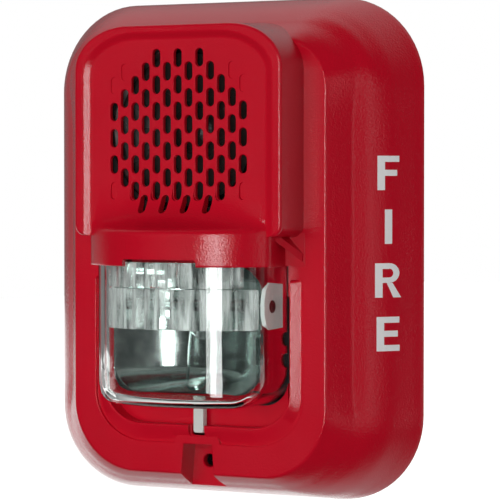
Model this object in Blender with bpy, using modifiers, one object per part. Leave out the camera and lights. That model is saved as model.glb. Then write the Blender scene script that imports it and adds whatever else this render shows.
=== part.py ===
"""Wall mounted horn strobe: a red housing with a sounder behind a slotted grille,
a clear strobe lens under a bulging visor, and a plate that it hooks on.

Lengths are in millimetres and turned to metres where meshes are made. X runs to the
right and Z up as one faces the device. Depth is counted from the wall towards the
viewer, which is the -Y direction. The origin is the middle of the plate's wall face.
"""
import math

import bmesh
import bpy
from mathutils import Matrix, Vector

MM = 0.001

# ---------------------------------------------------------------- driving dimensions
WIDTH = 119.0
HEIGHT = 143.5
DEPTH = 49.5
WALL = 2.0                  # moulded wall of the housing
GAP = 0.3                   # clearance kept between touching pieces
CORNER_STEPS = 6            # facets in each rounded corner
ROUND_STEPS = 24            # facets in small turned pieces

RIM_BACK = 0.6              # the rim stands this far off the wall
RIM_FRONT = 1.6             # end of the upright part of the rim
CREASE_DEPTH = 19.0         # soft crease half way up the sloping flank
PAD_DEPTH = 25.6            # flat pad round the lens and the sounder block
PAD_HALF = 40.4
PAD_TOP = 59.2
PAD_BOTTOM = -64.0

BLOCK_DEPTH = 38.2          # front of the sounder block
BLOCK_HALF = 33.1
BLOCK_TOP = 63.3
BLOCK_BOTTOM = 4.0
PANEL_DEPTH = 36.2          # grille panel, sunk in the block
PANEL_HALF = 28.0
PANEL_TOP = 60.0

SLOT_WIDTH = 2.4
SLOT_HEIGHT = 5.1
SLOT_PITCH_X = 3.43
SLOT_PITCH_Z = 3.72
SLOT_TOP_ROW = 53.9         # height of the middle of the first row
SLOT_ROWS = (               # open columns in each row, counted from the middle one
    (-2, 0, 2), (-3, -1, 1, 3), (-4, -2, 0, 2, 4),
    (-5, -3, -1, 1, 3, 5), (-6, -4, -2, 0, 2, 4, 6), (-5, -3, -1, 1, 3, 5),
    (-6, -4, -2, 0, 2, 4, 6), (-5, -3, -1, 1, 3, 5), (-6, -4, -2, 0, 2, 4, 6),
    (-5, -3, -1, 1, 3, 5), (-4, -2, 0, 2, 4), (-3, -1, 1, 3))

VISOR_HALF = 28.8
VISOR_EDGE = 36.5           # depth of the visor's front at its two sides
VISOR_BOTTOM = -4.3
VISOR_TOP = 5.4             # below this the visor's front is upright
VISOR_WALL = 1.4

POCKET_HALF = 29.6          # pocket in the pad, round the lens
POCKET_BOTTOM = -50.0
POCKET_DEPTH = 21.5         # its floor
STEP_HALF = 33.4            # shallow step round the pocket
STEP_TOP = -9.0
STEP_BOTTOM = -55.2
STEP_DEPTH = 24.8

LENS_HALF = 26.6
LENS_TOP = -1.8
LENS_BOTTOM = -43.5
LENS_EDGE = 35.2
LENS_CROWN = 47.5
LENS_WALL = 1.8
LENS_BACK = 17.6

NOTCH_HEIGHT = -60.7        # height of the mounting screw
NOTCH_FLOOR = 18.3
NOTCH_TOP = -55.5

SPEAKER_HEIGHT = 34.0
PLATE_THICK = 2.6
COVER_BACK = 5.0
COVER_THICK = 1.8
BOARD_BACK = 15.0
BOARD_THICK = 1.6
TERMINAL_HEIGHT = -24.0
TERMINAL_PITCH = 11.0
DIAL_X = 36.0               # tone dial, at the back
DIAL_Z = 20.0
HINGE_DEPTH = 4.5           # line on which the housing tilts
HINGE_HEIGHT = 65.3


# ---------------------------------------------------------------- scene and helpers
for old in list(bpy.data.objects):
    bpy.data.objects.remove(old, do_unlink=True)

parts = bpy.data.collections.new("horn_strobe")
cutters = bpy.data.collections.new("cutters")
bpy.context.scene.collection.children.link(parts)
bpy.context.scene.collection.children.link(cutters)


def finish_material(name, colour, roughness, metallic=0.0):
    """A Principled material with one colour and finish."""
    material = bpy.data.materials.new(name)
    material.use_nodes = True
    shader = material.node_tree.nodes["Principled BSDF"]
    shader.inputs["Base Color"].default_value = (*colour, 1.0)
    shader.inputs["Roughness"].default_value = roughness
    shader.inputs["Metallic"].default_value = metallic
    return material


def place(name, mesh, collection, material=None):
    """Wrap a mesh in an object and put it in a collection."""
    item = bpy.data.objects.new(name, mesh)
    collection.objects.link(item)
    if material:
        mesh.materials.append(material)
    return item


def as_mesh(name, shape):
    """Turn a bmesh into mesh data with its faces pointing out."""
    bmesh.ops.recalc_face_normals(shape, faces=shape.faces[:])
    data = bpy.data.meshes.new(name)
    shape.to_mesh(data)
    shape.free()
    return data


def rounded(half, top, bottom, top_radius, bottom_radius, steps=CORNER_STEPS):
    """Upright rounded rectangle as (x, z) points, anticlockwise from the front."""
    corners = (
        (half - bottom_radius, bottom + bottom_radius, bottom_radius, -90),
        (half - top_radius, top - top_radius, top_radius, 0),
        (top_radius - half, top - top_radius, top_radius, 90),
        (bottom_radius - half, bottom + bottom_radius, bottom_radius, 180))
    points = []
    for x, z, radius, start in corners:
        for step in range(steps + 1):
            angle = math.radians(start + 90 * step / steps)
            points.append((x + radius * math.cos(angle), z + radius * math.sin(angle)))
    return points


def loft(name, rings, collection, material=None):
    """Closed solid through rings of (x, depth, z) points with capped ends."""
    shape = bmesh.new()
    loops = [[shape.verts.new((x * MM, -depth * MM, z * MM)) for x, depth, z in ring]
             for ring in rings]
    for first, second in zip(loops, loops[1:]):
        for here in range(len(first)):
            there = (here + 1) % len(first)
            shape.faces.new((first[here], first[there], second[there], second[here]))
    shape.faces.new(loops[0][::-1])
    shape.faces.new(loops[-1])
    return place(name, as_mesh(name, shape), collection, material)


def stacked(name, sections, collection, material=None):
    """Loft through upright outlines, each given as (depth, points)."""
    rings = [[(x, depth, z) for x, z in points] for depth, points in sections]
    return loft(name, rings, collection, material)


def flat_piece(name, points, back, front, collection, material=None):
    """Flat outline of (x, z) points between two depths, from a filled curve."""
    curve = bpy.data.curves.new(name, "CURVE")
    curve.dimensions = "2D"
    curve.fill_mode = "BOTH"
    curve.extrude = (front - back) / 2 * MM
    spline = curve.splines.new("POLY")
    spline.points.add(len(points) - 1)
    for point, (x, z) in zip(spline.points, points):
        point.co = (x * MM, z * MM, 0.0, 1.0)
    spline.use_cyclic_u = True
    outline = bpy.data.objects.new(name + "_outline", curve)
    cutters.objects.link(outline)
    bpy.context.view_layer.update()
    shape = bmesh.new()
    shape.from_mesh(bpy.data.meshes.new_from_object(
        outline.evaluated_get(bpy.context.evaluated_depsgraph_get())))
    bpy.data.objects.remove(outline, do_unlink=True)
    bmesh.ops.remove_doubles(shape, verts=shape.verts[:], dist=0.00001)
    upright = Matrix.Translation((0, -(back + front) / 2 * MM, 0)) @ Matrix.Rotation(math.pi / 2, 4, "X")
    bmesh.ops.transform(shape, matrix=upright, verts=shape.verts[:])
    return place(name, as_mesh(name, shape), collection, material)


def box(name, low, high, collection, material=None):
    """Box between two (x, depth, z) corners."""
    shape = bmesh.new()
    bmesh.ops.create_cube(shape, size=1.0)
    size = [(b - a) * MM for a, b in zip(low, high)]
    middle = [(a + b) / 2 * MM for a, b in zip(low, high)]
    move = Matrix.Translation((middle[0], -middle[1], middle[2])) @ Matrix.Diagonal((*size, 1.0))
    bmesh.ops.transform(shape, matrix=move, verts=shape.verts[:])
    return place(name, as_mesh(name, shape), collection, material)


def rod(name, start, end, radius, collection, material=None, steps=ROUND_STEPS):
    """Cylinder between two (x, depth, z) points."""
    first = Vector((start[0], -start[1], start[2])) * MM
    last = Vector((end[0], -end[1], end[2])) * MM
    shape = bmesh.new()
    turn = (last - first).to_track_quat("Z", "Y").to_matrix().to_4x4()
    bmesh.ops.create_cone(
        shape, cap_ends=True, segments=steps, radius1=radius * MM, radius2=radius * MM,
        depth=(last - first).length, matrix=Matrix.Translation((first + last) / 2) @ turn)
    data = as_mesh(name, shape)
    data.shade_smooth()
    data.set_sharp_from_angle(angle=math.radians(40))
    return place(name, data, collection, material)


def turned(name, profile, x, z, material, closed=False, steps=ROUND_STEPS, depth=0.0):
    """Piece turned about a line straight out of the wall, at (x, z).

    The profile is a list of (radius, depth) points, from the front of its outer side
    to the back. A closed profile makes a ring. The object's origin is on the axis.
    """
    data = bpy.data.meshes.new(name)
    points = [(radius * MM, 0.0, (far - depth) * MM) for radius, far in profile]
    edges = [(here, here + 1) for here in range(len(points) - 1)]
    if closed:
        edges.append((len(points) - 1, 0))
    data.from_pydata(points, edges, [])
    item = place(name, data, parts, material)
    item.location = (x * MM, -depth * MM, z * MM)
    item.rotation_euler = (math.pi / 2, 0.0, 0.0)
    screw = item.modifiers.new("turn", "SCREW")
    screw.axis = "Z"
    screw.steps = steps
    screw.render_steps = steps
    screw.use_merge_vertices = True
    screw.merge_threshold = 0.00001
    screw.use_smooth_shade = True
    return item


def combine(target, tools, operation):
    """Add one exact Boolean for each tool, which becomes a hidden wire object."""
    for tool in tools:
        step = target.modifiers.new(operation.lower() + "_" + tool.name, "BOOLEAN")
        step.operation = operation
        step.solver = "EXACT"
        step.object = tool
        tool.hide_render = True
        tool.display_type = "WIRE"


def body_sections(inset):
    """Sections of the sloping body, or of its hollow when inset by the wall."""
    shapes = (
        (RIM_BACK, WIDTH / 2, HEIGHT / 2, -HEIGHT / 2, 23.0, 25.0),
        (RIM_FRONT, WIDTH / 2, HEIGHT / 2, -HEIGHT / 2, 23.0, 25.0),
        (8.0, 54.9, 69.8, -70.7, 22.5, 24.5),
        (13.0, 51.3, 67.4, -69.6, 22.0, 24.0),
        (CREASE_DEPTH, 45.2, 63.4, -67.6, 19.0, 23.0),
        (PAD_DEPTH, PAD_HALF, PAD_TOP, PAD_BOTTOM, 13.5, 20.0))
    sections = []
    for depth, half, top, bottom, top_radius, bottom_radius in shapes:
        outline = rounded(half - inset, top - inset, bottom + inset,
                          top_radius - inset, bottom_radius - inset)
        sections.append((depth, outline))
    return sections


def bulge(x, half, edge, crown):
    """Depth of the bulging front at x: an arc from the edges to the crown."""
    rise = crown - edge
    radius = (half ** 2 + rise ** 2) / (2 * rise)
    return crown - radius + math.sqrt(max(radius ** 2 - x ** 2, 0.0))


def visor_rings(inset):
    """Plan rings of the visor, or of its hollow, from its lower edge up into the panel."""
    half = VISOR_HALF - inset
    if inset:
        levels = ((VISOR_BOTTOM - 1.0, VISOR_EDGE - inset, DEPTH - inset),
                  (VISOR_TOP - inset, VISOR_EDGE - inset, DEPTH - inset),
                  (5.2, 34.6, 45.6), (7.6, 34.2, 40.6), (10.4, 34.0, 37.4), (15.0, 33.4, 34.4))
    else:
        edge = VISOR_EDGE - 0.4
        levels = ((VISOR_BOTTOM, edge, DEPTH), (VISOR_TOP, edge, DEPTH), (6.4, edge, 48.2),
                  (7.6, edge, 44.6), (9.6, edge, 41.0), (12.5, edge, 38.4), (17.0, edge, 36.6))
    rings = []
    arc_steps = 16
    for z, edge, crown in levels:
        ring = [(half, PAD_DEPTH - 2.8, z), (-half, PAD_DEPTH - 2.8, z)]
        for step in range(arc_steps + 1):
            x = -half + 2 * half * step / arc_steps
            ring.append((x, bulge(x, half, edge, crown), z))
        rings.append(ring)
    return rings


# ---------------------------------------------------------------- materials
red_plastic = finish_material("red_moulded_plastic", (0.52, 0.012, 0.02), 0.35)
black_plastic = finish_material("black_moulded_plastic", (0.02, 0.02, 0.022), 0.5)
grey_plastic = finish_material("grey_moulded_plastic", (0.35, 0.35, 0.36), 0.5)
white_plastic = finish_material("white_moulded_plastic", (0.8, 0.8, 0.78), 0.4)
clear_plastic = finish_material("clear_moulded_lens", (0.85, 0.9, 0.92), 0.05)
clear_glass = finish_material("flash_tube_glass", (0.9, 0.95, 0.95), 0.03)
mirror_plastic = finish_material("metallised_reflector", (0.9, 0.9, 0.9), 0.06, 1.0)
zinc_steel = finish_material("zinc_plated_steel", (0.62, 0.62, 0.6), 0.3, 1.0)
dark_steel = finish_material("blackened_steel", (0.12, 0.12, 0.12), 0.4, 1.0)
brass = finish_material("tinned_brass", (0.7, 0.62, 0.4), 0.3, 1.0)
board_green = finish_material("green_circuit_board", (0.03, 0.2, 0.08), 0.4)
chip_black = finish_material("moulded_component_black", (0.03, 0.03, 0.03), 0.45)
ferrite = finish_material("sintered_ferrite", (0.06, 0.06, 0.065), 0.6)
paper_cone = finish_material("treated_paper_cone", (0.03, 0.03, 0.03), 0.7)
foam = finish_material("closed_cell_foam", (0.05, 0.05, 0.05), 0.9)
copper = finish_material("enamelled_copper", (0.5, 0.2, 0.08), 0.35, 1.0)


# ---------------------------------------------------------------- mounting plate
def make_mounting_plate():
    """Flat wall plate with a cable opening, screw slots and two top hooks."""
    plate = flat_piece("mounting_plate", rounded(52.0, 62.0, -66.0, 14.0, 14.0),
                       0.0, PLATE_THICK, parts, black_plastic)
    hooks = []
    for side in (-1, 1):
        left, right = sorted((side * 14.0, side * 26.0))
        hooks.append(box("hook_root", (left, 0.0, 58.0), (right, PLATE_THICK, 65.0), cutters))
        hooks.append(box("hook_arm", (left, 1.0, 63.0), (right, 8.9, 65.0), cutters))
        hooks.append(box("hook_lip", (left, 7.3, 63.6), (right, 8.9, 67.2), cutters))
    combine(plate, hooks, "UNION")
    holes = [flat_piece("cable_opening", rounded(22.0, 33.0, 4.0, 5.0, 5.0),
                        -1.0, PLATE_THICK + 1.0, cutters)]
    for x, z in ((0.0, 41.7), (0.0, -41.7), (-44.5, 0.0), (44.5, 0.0)):
        tall, wide = (5.5, 1.9) if x == 0 else (1.9, 5.5)
        points = [(x + a, z + b) for a, b in rounded(wide, tall, -tall, 1.8, 1.8)]
        holes.append(flat_piece("screw_slot", points, -1.0, PLATE_THICK + 1.0, cutters))
    holes.append(rod("screw_bush", (0, -1, NOTCH_HEIGHT), (0, PLATE_THICK + 1, NOTCH_HEIGHT),
                     1.7, cutters))
    combine(plate, holes, "DIFFERENCE")
    return [plate]


def make_terminals():
    """Terminal block with four wire clamps, their screws and the shorting spring."""
    base = PLATE_THICK + GAP
    front = 10.5
    low, high = TERMINAL_HEIGHT - 7.0, TERMINAL_HEIGHT + 9.0
    block = box("terminal_block", (-23.5, base, low), (23.5, front, high), parts, grey_plastic)
    pieces = [block]
    bays = []
    for number in range(4):
        x = (number - 1.5) * TERMINAL_PITCH
        bays.append(box("bay", (x - 4.2, 5.4, low - 1.0), (x + 4.2, front + 1.0, low + 9.4), cutters))
        bays.append(rod("thread_hole", (x, base - 1, TERMINAL_HEIGHT - 2.0),
                        (x, 6.0, TERMINAL_HEIGHT - 2.0), 1.6, cutters))
    combine(block, bays, "DIFFERENCE")
    for number in range(4):
        x = (number - 1.5) * TERMINAL_PITCH
        z = TERMINAL_HEIGHT - 2.0
        clamp = box(f"clamp_plate_{number + 1}", (x - 3.4, 6.6, z - 3.6), (x + 3.4, 7.4, z + 3.6),
                    parts, zinc_steel)
        combine(clamp, [rod("clamp_hole", (x, 5, z), (x, 9, z), 1.6, cutters)], "DIFFERENCE")
        profile = [(0.0, 9.5), (2.2, 9.5), (2.5, 9.1), (2.5, 7.7), (1.2, 7.7), (1.2, 3.4), (0.0, 3.4)]
        screw = turned(f"terminal_screw_{number + 1}", profile, x, z, zinc_steel, steps=16, depth=7.7)
        slot = box("driver_slot", (x - 3, 8.7, z - 0.35), (x + 3, 10, z + 0.35), cutters)
        combine(screw, [slot], "DIFFERENCE")
        pieces += [clamp, screw]
    spring_points = [(-9.0, -17.6), (9.0, -17.6), (9.0, -15.4), (-9.0, -15.4)]
    pieces.append(flat_piece("shorting_spring", spring_points, front + GAP, front + GAP + 0.4,
                             parts, brass))
    return pieces


# ---------------------------------------------------------------- housing
def slot_cutters():
    """One cutter holding every grille slot."""
    outline = rounded(SLOT_WIDTH / 2, SLOT_HEIGHT / 2, -SLOT_HEIGHT / 2,
                      SLOT_WIDTH / 2 - 0.01, SLOT_WIDTH / 2 - 0.01, steps=2)
    shape = bmesh.new()
    for row, columns in enumerate(SLOT_ROWS):
        for column in columns:
            x0 = column * SLOT_PITCH_X
            z0 = SLOT_TOP_ROW - row * SLOT_PITCH_Z
            rings = []
            for depth in (PANEL_DEPTH - WALL - 2.0, PANEL_DEPTH + 6.0):
                rings.append([shape.verts.new(((x0 + x) * MM, -depth * MM, (z0 + z) * MM))
                              for x, z in outline])
            for here in range(len(outline)):
                there = (here + 1) % len(outline)
                shape.faces.new((rings[0][here], rings[0][there], rings[1][there], rings[1][here]))
            shape.faces.new(rings[0][::-1])
            shape.faces.new(rings[1])
    return place("grille_slots", as_mesh("grille_slots", shape), cutters)


def block_sections(inset):
    """Sections of the sounder block, or of its hollow when inset."""
    half, top, low = BLOCK_HALF - inset, BLOCK_TOP - inset, BLOCK_BOTTOM + inset
    front = PANEL_DEPTH - WALL if inset else BLOCK_DEPTH
    sections = [(14.0 if inset == 0 else 15.0, rounded(half + 1.6, top + 1.2, low - 0.6, 12.0, 3.0)),
                (front - 1.2, rounded(half, top, low, 11.0, 3.0))]
    if inset == 0:
        sections.append((front - 0.4, rounded(half - 0.3, top - 0.3, low + 0.2, 10.8, 2.9)))
        sections.append((front, rounded(half - 1.1, top - 1.1, low + 0.9, 10.0, 2.4)))
    else:
        sections.append((front, rounded(half, top, low, 11.0, 3.0)))
    return sections


def notch_points(grow, low):
    """Tapered outline of the screw notch in the bottom of the pad."""
    return [(-4.5 - grow, NOTCH_TOP + grow), (-6.2 - grow, low), (6.2 + grow, low),
            (4.5 + grow, NOTCH_TOP + grow)]


def make_front_housing():
    """Red shell: sloping body, pad, sounder block, visor, pocket and notch."""
    shell = stacked("front_housing", body_sections(0.0), parts, red_plastic)
    step = stacked("pad_step", [
        (STEP_DEPTH, rounded(STEP_HALF - 1.2, STEP_TOP, STEP_BOTTOM + 0.8, 1.0, 14.0)),
        (STEP_DEPTH + 5.0, rounded(STEP_HALF + 3.0, STEP_TOP, STEP_BOTTOM - 3.0, 1.0, 17.0))], cutters)
    combine(step, [flat_piece("screw_collar", [(-6.4, -53.2), (-8.6, -59.0), (8.6, -59.0), (6.4, -53.2)],
                              PAD_DEPTH - 3.0, PAD_DEPTH + 6.0, cutters)], "DIFFERENCE")
    combine(shell, [step], "DIFFERENCE")

    block = stacked("sounder_block", block_sections(0.0), cutters)
    recess = stacked("panel_recess", [
        (PANEL_DEPTH, rounded(PANEL_HALF, PANEL_TOP, -12.0, 8.5, 3.0)),
        (BLOCK_DEPTH + 0.01, rounded(PANEL_HALF + 1.8, PANEL_TOP + 1.4, -14.0, 9.5, 3.0)),
        (BLOCK_DEPTH + 2.0, rounded(PANEL_HALF + 1.8, PANEL_TOP + 1.4, -14.0, 9.5, 3.0))], cutters)
    combine(block, [recess], "DIFFERENCE")
    visor = loft("visor", visor_rings(0.0), cutters)
    webs = []
    for side in (-1, 1):
        rings = []
        for z in (VISOR_BOTTOM + 0.05, BLOCK_BOTTOM + 1.0):
            ring = [(27.6, 23.4, z), (34.0, 23.4, z), (34.0, PAD_DEPTH + 0.4, z), (27.6, 35.0, z)]
            rings.append([(side * x, depth, height) for x, depth, height in ring])
        webs.append(loft("side_web", rings, cutters))
    combine(shell, [block, visor] + webs, "UNION")

    hollow = stacked("body_hollow", [
        (RIM_BACK - 2.0, rounded(WIDTH / 2 - WALL, HEIGHT / 2 - WALL, WALL - HEIGHT / 2, 21.0, 23.0))]
        + body_sections(WALL)[1:-1]
        + [(PAD_DEPTH - WALL, rounded(PAD_HALF - WALL, PAD_TOP - WALL, PAD_BOTTOM + WALL, 11.5, 18.0))],
        cutters)
    block_hollow = stacked("block_hollow", block_sections(WALL), cutters)
    visor_hollow = loft("visor_hollow", visor_rings(VISOR_WALL), cutters)
    combine(hollow, [block_hollow, visor_hollow], "UNION")
    tub = rounded(POCKET_HALF + WALL, VISOR_BOTTOM, POCKET_BOTTOM - WALL, 1.0, 12.0)
    kept = [
        stacked("pocket_tub", [(POCKET_DEPTH - WALL, tub), (PAD_DEPTH, tub)], cutters),
        flat_piece("notch_tub", notch_points(WALL, -74.0), NOTCH_FLOOR - WALL, PAD_DEPTH + 1.0, cutters),
        rod("screw_boss", (0, 10.0, NOTCH_HEIGHT), (0, NOTCH_FLOOR, NOTCH_HEIGHT), 3.4, cutters)]
    for x in (-46.0, 46.0):
        for z in (-56.0, 56.0):
            kept.append(rod("cover_boss", (x, COVER_BACK + COVER_THICK + GAP, z), (x, 30.0, z), 3.6, cutters))
    combine(hollow, kept, "DIFFERENCE")

    openings = [
        hollow,
        stacked("lens_pocket", [
            (POCKET_DEPTH, rounded(POCKET_HALF - 0.6, VISOR_BOTTOM, POCKET_BOTTOM + 0.6, 1.0, 9.5)),
            (PAD_DEPTH + 12.0, rounded(POCKET_HALF, VISOR_BOTTOM, POCKET_BOTTOM, 1.0, 10.0))], cutters),
        box("lens_hole", (-LENS_HALF - 0.4, 14.0, LENS_BOTTOM - 0.4), (LENS_HALF + 0.4, 33.0, LENS_TOP + 0.5),
            cutters),
        box("selector_window", (LENS_HALF + 0.3, 14.0, -42.0), (LENS_HALF + 2.5, 30.0, -13.0), cutters),
        box("latch_slot", (-2.1, 22.6, -51.7), (2.1, 40.0, -48.0), cutters),
        flat_piece("screw_notch", notch_points(0.0, -76.0), NOTCH_FLOOR, PAD_DEPTH + 4.0, cutters),
        rod("screw_counterbore", (0, 14.5, NOTCH_HEIGHT), (0, NOTCH_FLOOR + 1, NOTCH_HEIGHT), 1.9, cutters),
        rod("screw_bore", (0, 8.0, NOTCH_HEIGHT), (0, 15.0, NOTCH_HEIGHT), 1.5, cutters),
        box("visor_notch", (-12.0, 38.0, VISOR_BOTTOM - 1.0), (11.0, 52.0, VISOR_BOTTOM + 2.0), cutters),
        slot_cutters()]
    for x in (-46.0, 46.0):
        for z in (-56.0, 56.0):
            openings.append(rod("boss_bore", (x, 2.0, z), (x, 11.0, z), 1.6, cutters, steps=12))
    combine(shell, openings, "DIFFERENCE")
    return [shell]


def make_rear_cover():
    """Black tray that closes the housing and carries the circuit board."""
    front = COVER_BACK + COVER_THICK
    cover = flat_piece("rear_cover", rounded(53.0, 67.3, -67.9, 20.5, 22.0), COVER_BACK, front,
                       parts, black_plastic)
    raised = [box("terminal_box", (-27.0, COVER_BACK + 0.5, -35.0), (27.0, 13.5, 34.5), cutters)]
    for x in (-34.0, 34.0):
        for z in (-44.0, 50.0):
            raised.append(rod("board_pillar", (x, COVER_BACK + 0.5, z), (x, BOARD_BACK - GAP, z), 2.6,
                              cutters, steps=12))
    combine(cover, raised, "UNION")
    holes = [box("wiring_bay", (-25.5, COVER_BACK - 1.0, -33.5), (25.5, 12.0, 33.0), cutters),
             rod("screw_passage", (0, 4, NOTCH_HEIGHT), (0, 8, NOTCH_HEIGHT), 4.2, cutters),
             rod("dial_hole", (DIAL_X, 4, DIAL_Z), (DIAL_X, 8, DIAL_Z), 5.7, cutters)]
    for side in (-1, 1):
        left, right = sorted((side * 13.4, side * 26.6))
        holes.append(box("hook_slot", (left, 4.0, 61.4), (right, 8.0, 65.7), cutters))
    for number in range(4):
        x = (number - 1.5) * TERMINAL_PITCH
        holes.append(rod("pin_hole", (x, 11, -16.5), (x, 15, -16.5), 1.5, cutters, steps=12))
    for x in (-46.0, 46.0):
        for z in (-56.0, 56.0):
            holes.append(rod("cover_screw_hole", (x, 4, z), (x, 8, z), 1.9, cutters, steps=12))
    combine(cover, holes, "DIFFERENCE")
    return [cover]


def make_cover_screws():
    """Four self tapping screws that hold the rear cover in its bosses."""
    screws = []
    places = [(x, z) for z in (56.0, -56.0) for x in (-46.0, 46.0)]
    for number, (x, z) in enumerate(places):
        profile = [(0.0, 10.4), (1.3, 10.4), (1.3, 4.7), (3.0, 4.7), (2.8, 3.6), (1.6, 3.2), (0.0, 3.2)]
        screw = turned(f"cover_screw_{number + 1}", profile, x, z, zinc_steel, steps=16)
        cross = [box("cross_a", (x - 1.4, 2.8, z - 0.3), (x + 1.4, 4.0, z + 0.3), cutters),
                 box("cross_b", (x - 0.3, 2.8, z - 1.4), (x + 0.3, 4.0, z + 1.4), cutters)]
        combine(screw, cross, "DIFFERENCE")
        screws.append(screw)
    return screws


# ---------------------------------------------------------------- electronics
def make_board():
    """Circuit board with its capacitor, coils, chip, contact pins and insulating shield."""
    front = BOARD_BACK + BOARD_THICK
    inductor_profile = [(0.0, 23.6), (3.4, 23.6), (4.4, 23.0), (4.4, 22.0), (3.6, 21.4),
                        (3.6, 18.8), (4.4, 18.2), (4.4, 16.9), (0.0, 16.9)]
    pieces = [
        flat_piece("circuit_board", rounded(40.0, 57.0, -50.0, 12.0, 10.0), BOARD_BACK, front,
                   parts, board_green),
        rod("flash_capacitor", (-14.0, 24.0, 5.6), (14.0, 24.0, 5.6), 4.9, parts, chip_black),
        box("trigger_coil", (18.0, front + GAP, 2.4), (25.6, 24.6, 9.6), parts, chip_black),
        turned("power_inductor", inductor_profile, -21.5, 6.2, copper),
        flat_piece("control_chip", [(29.0, 25.0), (38.0, 25.0), (38.0, 34.0), (29.0, 34.0)],
                   front + GAP, front + GAP + 1.3, parts, chip_black),
        flat_piece("board_shield", rounded(31.5, 1.5, -49.5, 2.0, 2.0), front + GAP, front + 2 * GAP,
                   parts, black_plastic)]
    for number in range(4):
        x = (number - 1.5) * TERMINAL_PITCH
        pieces.append(rod(f"contact_pin_{number + 1}", (x, 11.6, -16.5), (x, BOARD_BACK - GAP, -16.5), 0.9,
                          parts, brass, steps=12))
    return pieces


def make_controls():
    """Candela selector in the window beside the lens, and the tone dial at the back."""
    slider = box("candela_slider", (LENS_HALF + 0.6, 17.6, -19.0), (LENS_HALF + 2.2, 21.0, -14.0),
                 parts, white_plastic)
    dial = turned("tone_dial", [(0.0, 14.6), (2.0, 14.6), (2.0, 9.0), (5.2, 9.0), (5.2, 5.4), (4.8, 5.1),
                                (0.0, 5.1)], DIAL_X, DIAL_Z, white_plastic, depth=5.1)
    slot = box("dial_slot", (DIAL_X - 3.6, 4.0, DIAL_Z - 0.5), (DIAL_X + 3.6, 6.4, DIAL_Z + 0.5), cutters)
    combine(dial, [slot], "DIFFERENCE")
    return [slider], [dial]


# ---------------------------------------------------------------- sounder
def make_sounder():
    """Loudspeaker behind the grille: gasket, basket, magnet and moving cone."""
    z = SPEAKER_HEIGHT
    gasket = turned("sounder_gasket", [(26.4, 33.9), (26.4, 32.7), (23.4, 32.7), (23.4, 33.9)],
                    0, z, foam, closed=True, steps=32)
    basket = turned("sounder_basket", [(26.4, 32.4), (26.4, 31.2), (24.6, 31.2), (15.0, 22.2), (7.0, 22.2),
                                       (7.0, 23.4), (14.4, 23.4), (23.4, 31.8), (23.4, 32.4)],
                    0, z, zinc_steel, closed=True, steps=32)
    magnet = turned("sounder_magnet", [(0.0, 21.9), (12.5, 21.9), (13.0, 21.4), (13.0, 17.7), (12.5, 17.2),
                                       (0.0, 17.2)], 0, z, ferrite, steps=32)
    cone = turned("sounder_cone", [(0.0, 30.4), (3.6, 29.8), (6.2, 28.2), (7.0, 27.4), (20.6, 32.0),
                                   (21.6, 32.0), (21.6, 31.4), (20.8, 31.2), (6.4, 26.2), (5.6, 24.6),
                                   (4.9, 24.6), (4.9, 26.8), (3.2, 29.0), (0.0, 29.6)],
                  0, z, paper_cone, steps=32, depth=28.0)
    return [gasket, basket, magnet], [cone]


# ---------------------------------------------------------------- strobe
def lens_rings(inset, back):
    """Rings of the lens along its height, as plan outlines with a bulging front."""
    half = LENS_HALF - inset
    rings = []
    arc_steps = 16
    low, high = LENS_BOTTOM + inset, LENS_TOP - inset
    corner = 8.0
    levels = [(low, corner), (low + 0.6, corner * 0.62), (low + 2.3, corner * 0.3),
              (low + 5.0, corner * 0.08), (low + corner, 0.0), (high, 0.0)]
    for z, pull in levels:
        width = half - pull
        ring = [(width, back, z), (-width, back, z)]
        for step in range(arc_steps + 1):
            x = -width + 2 * width * step / arc_steps
            soft = pull * 0.35
            ring.append((x, bulge(x, half, LENS_EDGE - inset, LENS_CROWN - inset) - soft, z))
        rings.append(ring)
    return rings


def make_strobe():
    """Clear lens, reflector, flash tube, its two end caps and the lens latch."""
    lens = loft("lens", lens_rings(0.0, LENS_BACK), parts, clear_plastic)
    flange = box("lens_flange", (-LENS_HALF, LENS_BACK, LENS_BOTTOM - 2.5),
                 (LENS_HALF, POCKET_DEPTH - WALL - GAP, LENS_TOP + 2.6), cutters)
    combine(lens, [flange], "UNION")
    combine(lens, [loft("lens_hollow", lens_rings(LENS_WALL, LENS_BACK - 1.0), cutters)], "DIFFERENCE")

    outer = [(19.0, rounded(17.0, -6.0, -36.0, 5.0, 7.0)), (26.0, rounded(21.5, -4.6, -39.6, 4.0, 7.0)),
             (33.2, rounded(23.6, -4.2, -40.8, 3.0, 7.0))]
    inner = [(20.2, rounded(15.8, -7.2, -34.8, 4.0, 6.0)), (27.0, rounded(20.4, -5.8, -38.4, 3.0, 6.0)),
             (33.6, rounded(22.5, -5.3, -39.7, 2.0, 6.0))]
    reflector = stacked("reflector", outer, parts, mirror_plastic)
    holes = [stacked("reflector_hollow", inner, cutters),
             rod("lead_passage", (-27, 31.0, -15.3), (27, 31.0, -15.3), 1.4, cutters, steps=12)]
    combine(reflector, holes, "DIFFERENCE")

    tube = rod("flash_tube", (-15.0, 31.0, -15.3), (15.0, 31.0, -15.3), 1.7, parts, clear_glass)
    caps = []
    for side, word in ((-1, "left"), (1, "right")):
        caps.append(rod(f"electrode_{word}", (side * 15.3, 31.0, -15.3), (side * 19.4, 31.0, -15.3), 1.9,
                        parts, zinc_steel, steps=16))
    latch = box("lens_latch", (-1.6, 23.0, -51.3), (1.6, 25.0, -45.2), parts, white_plastic)
    return [lens, reflector, tube, latch] + caps


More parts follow.
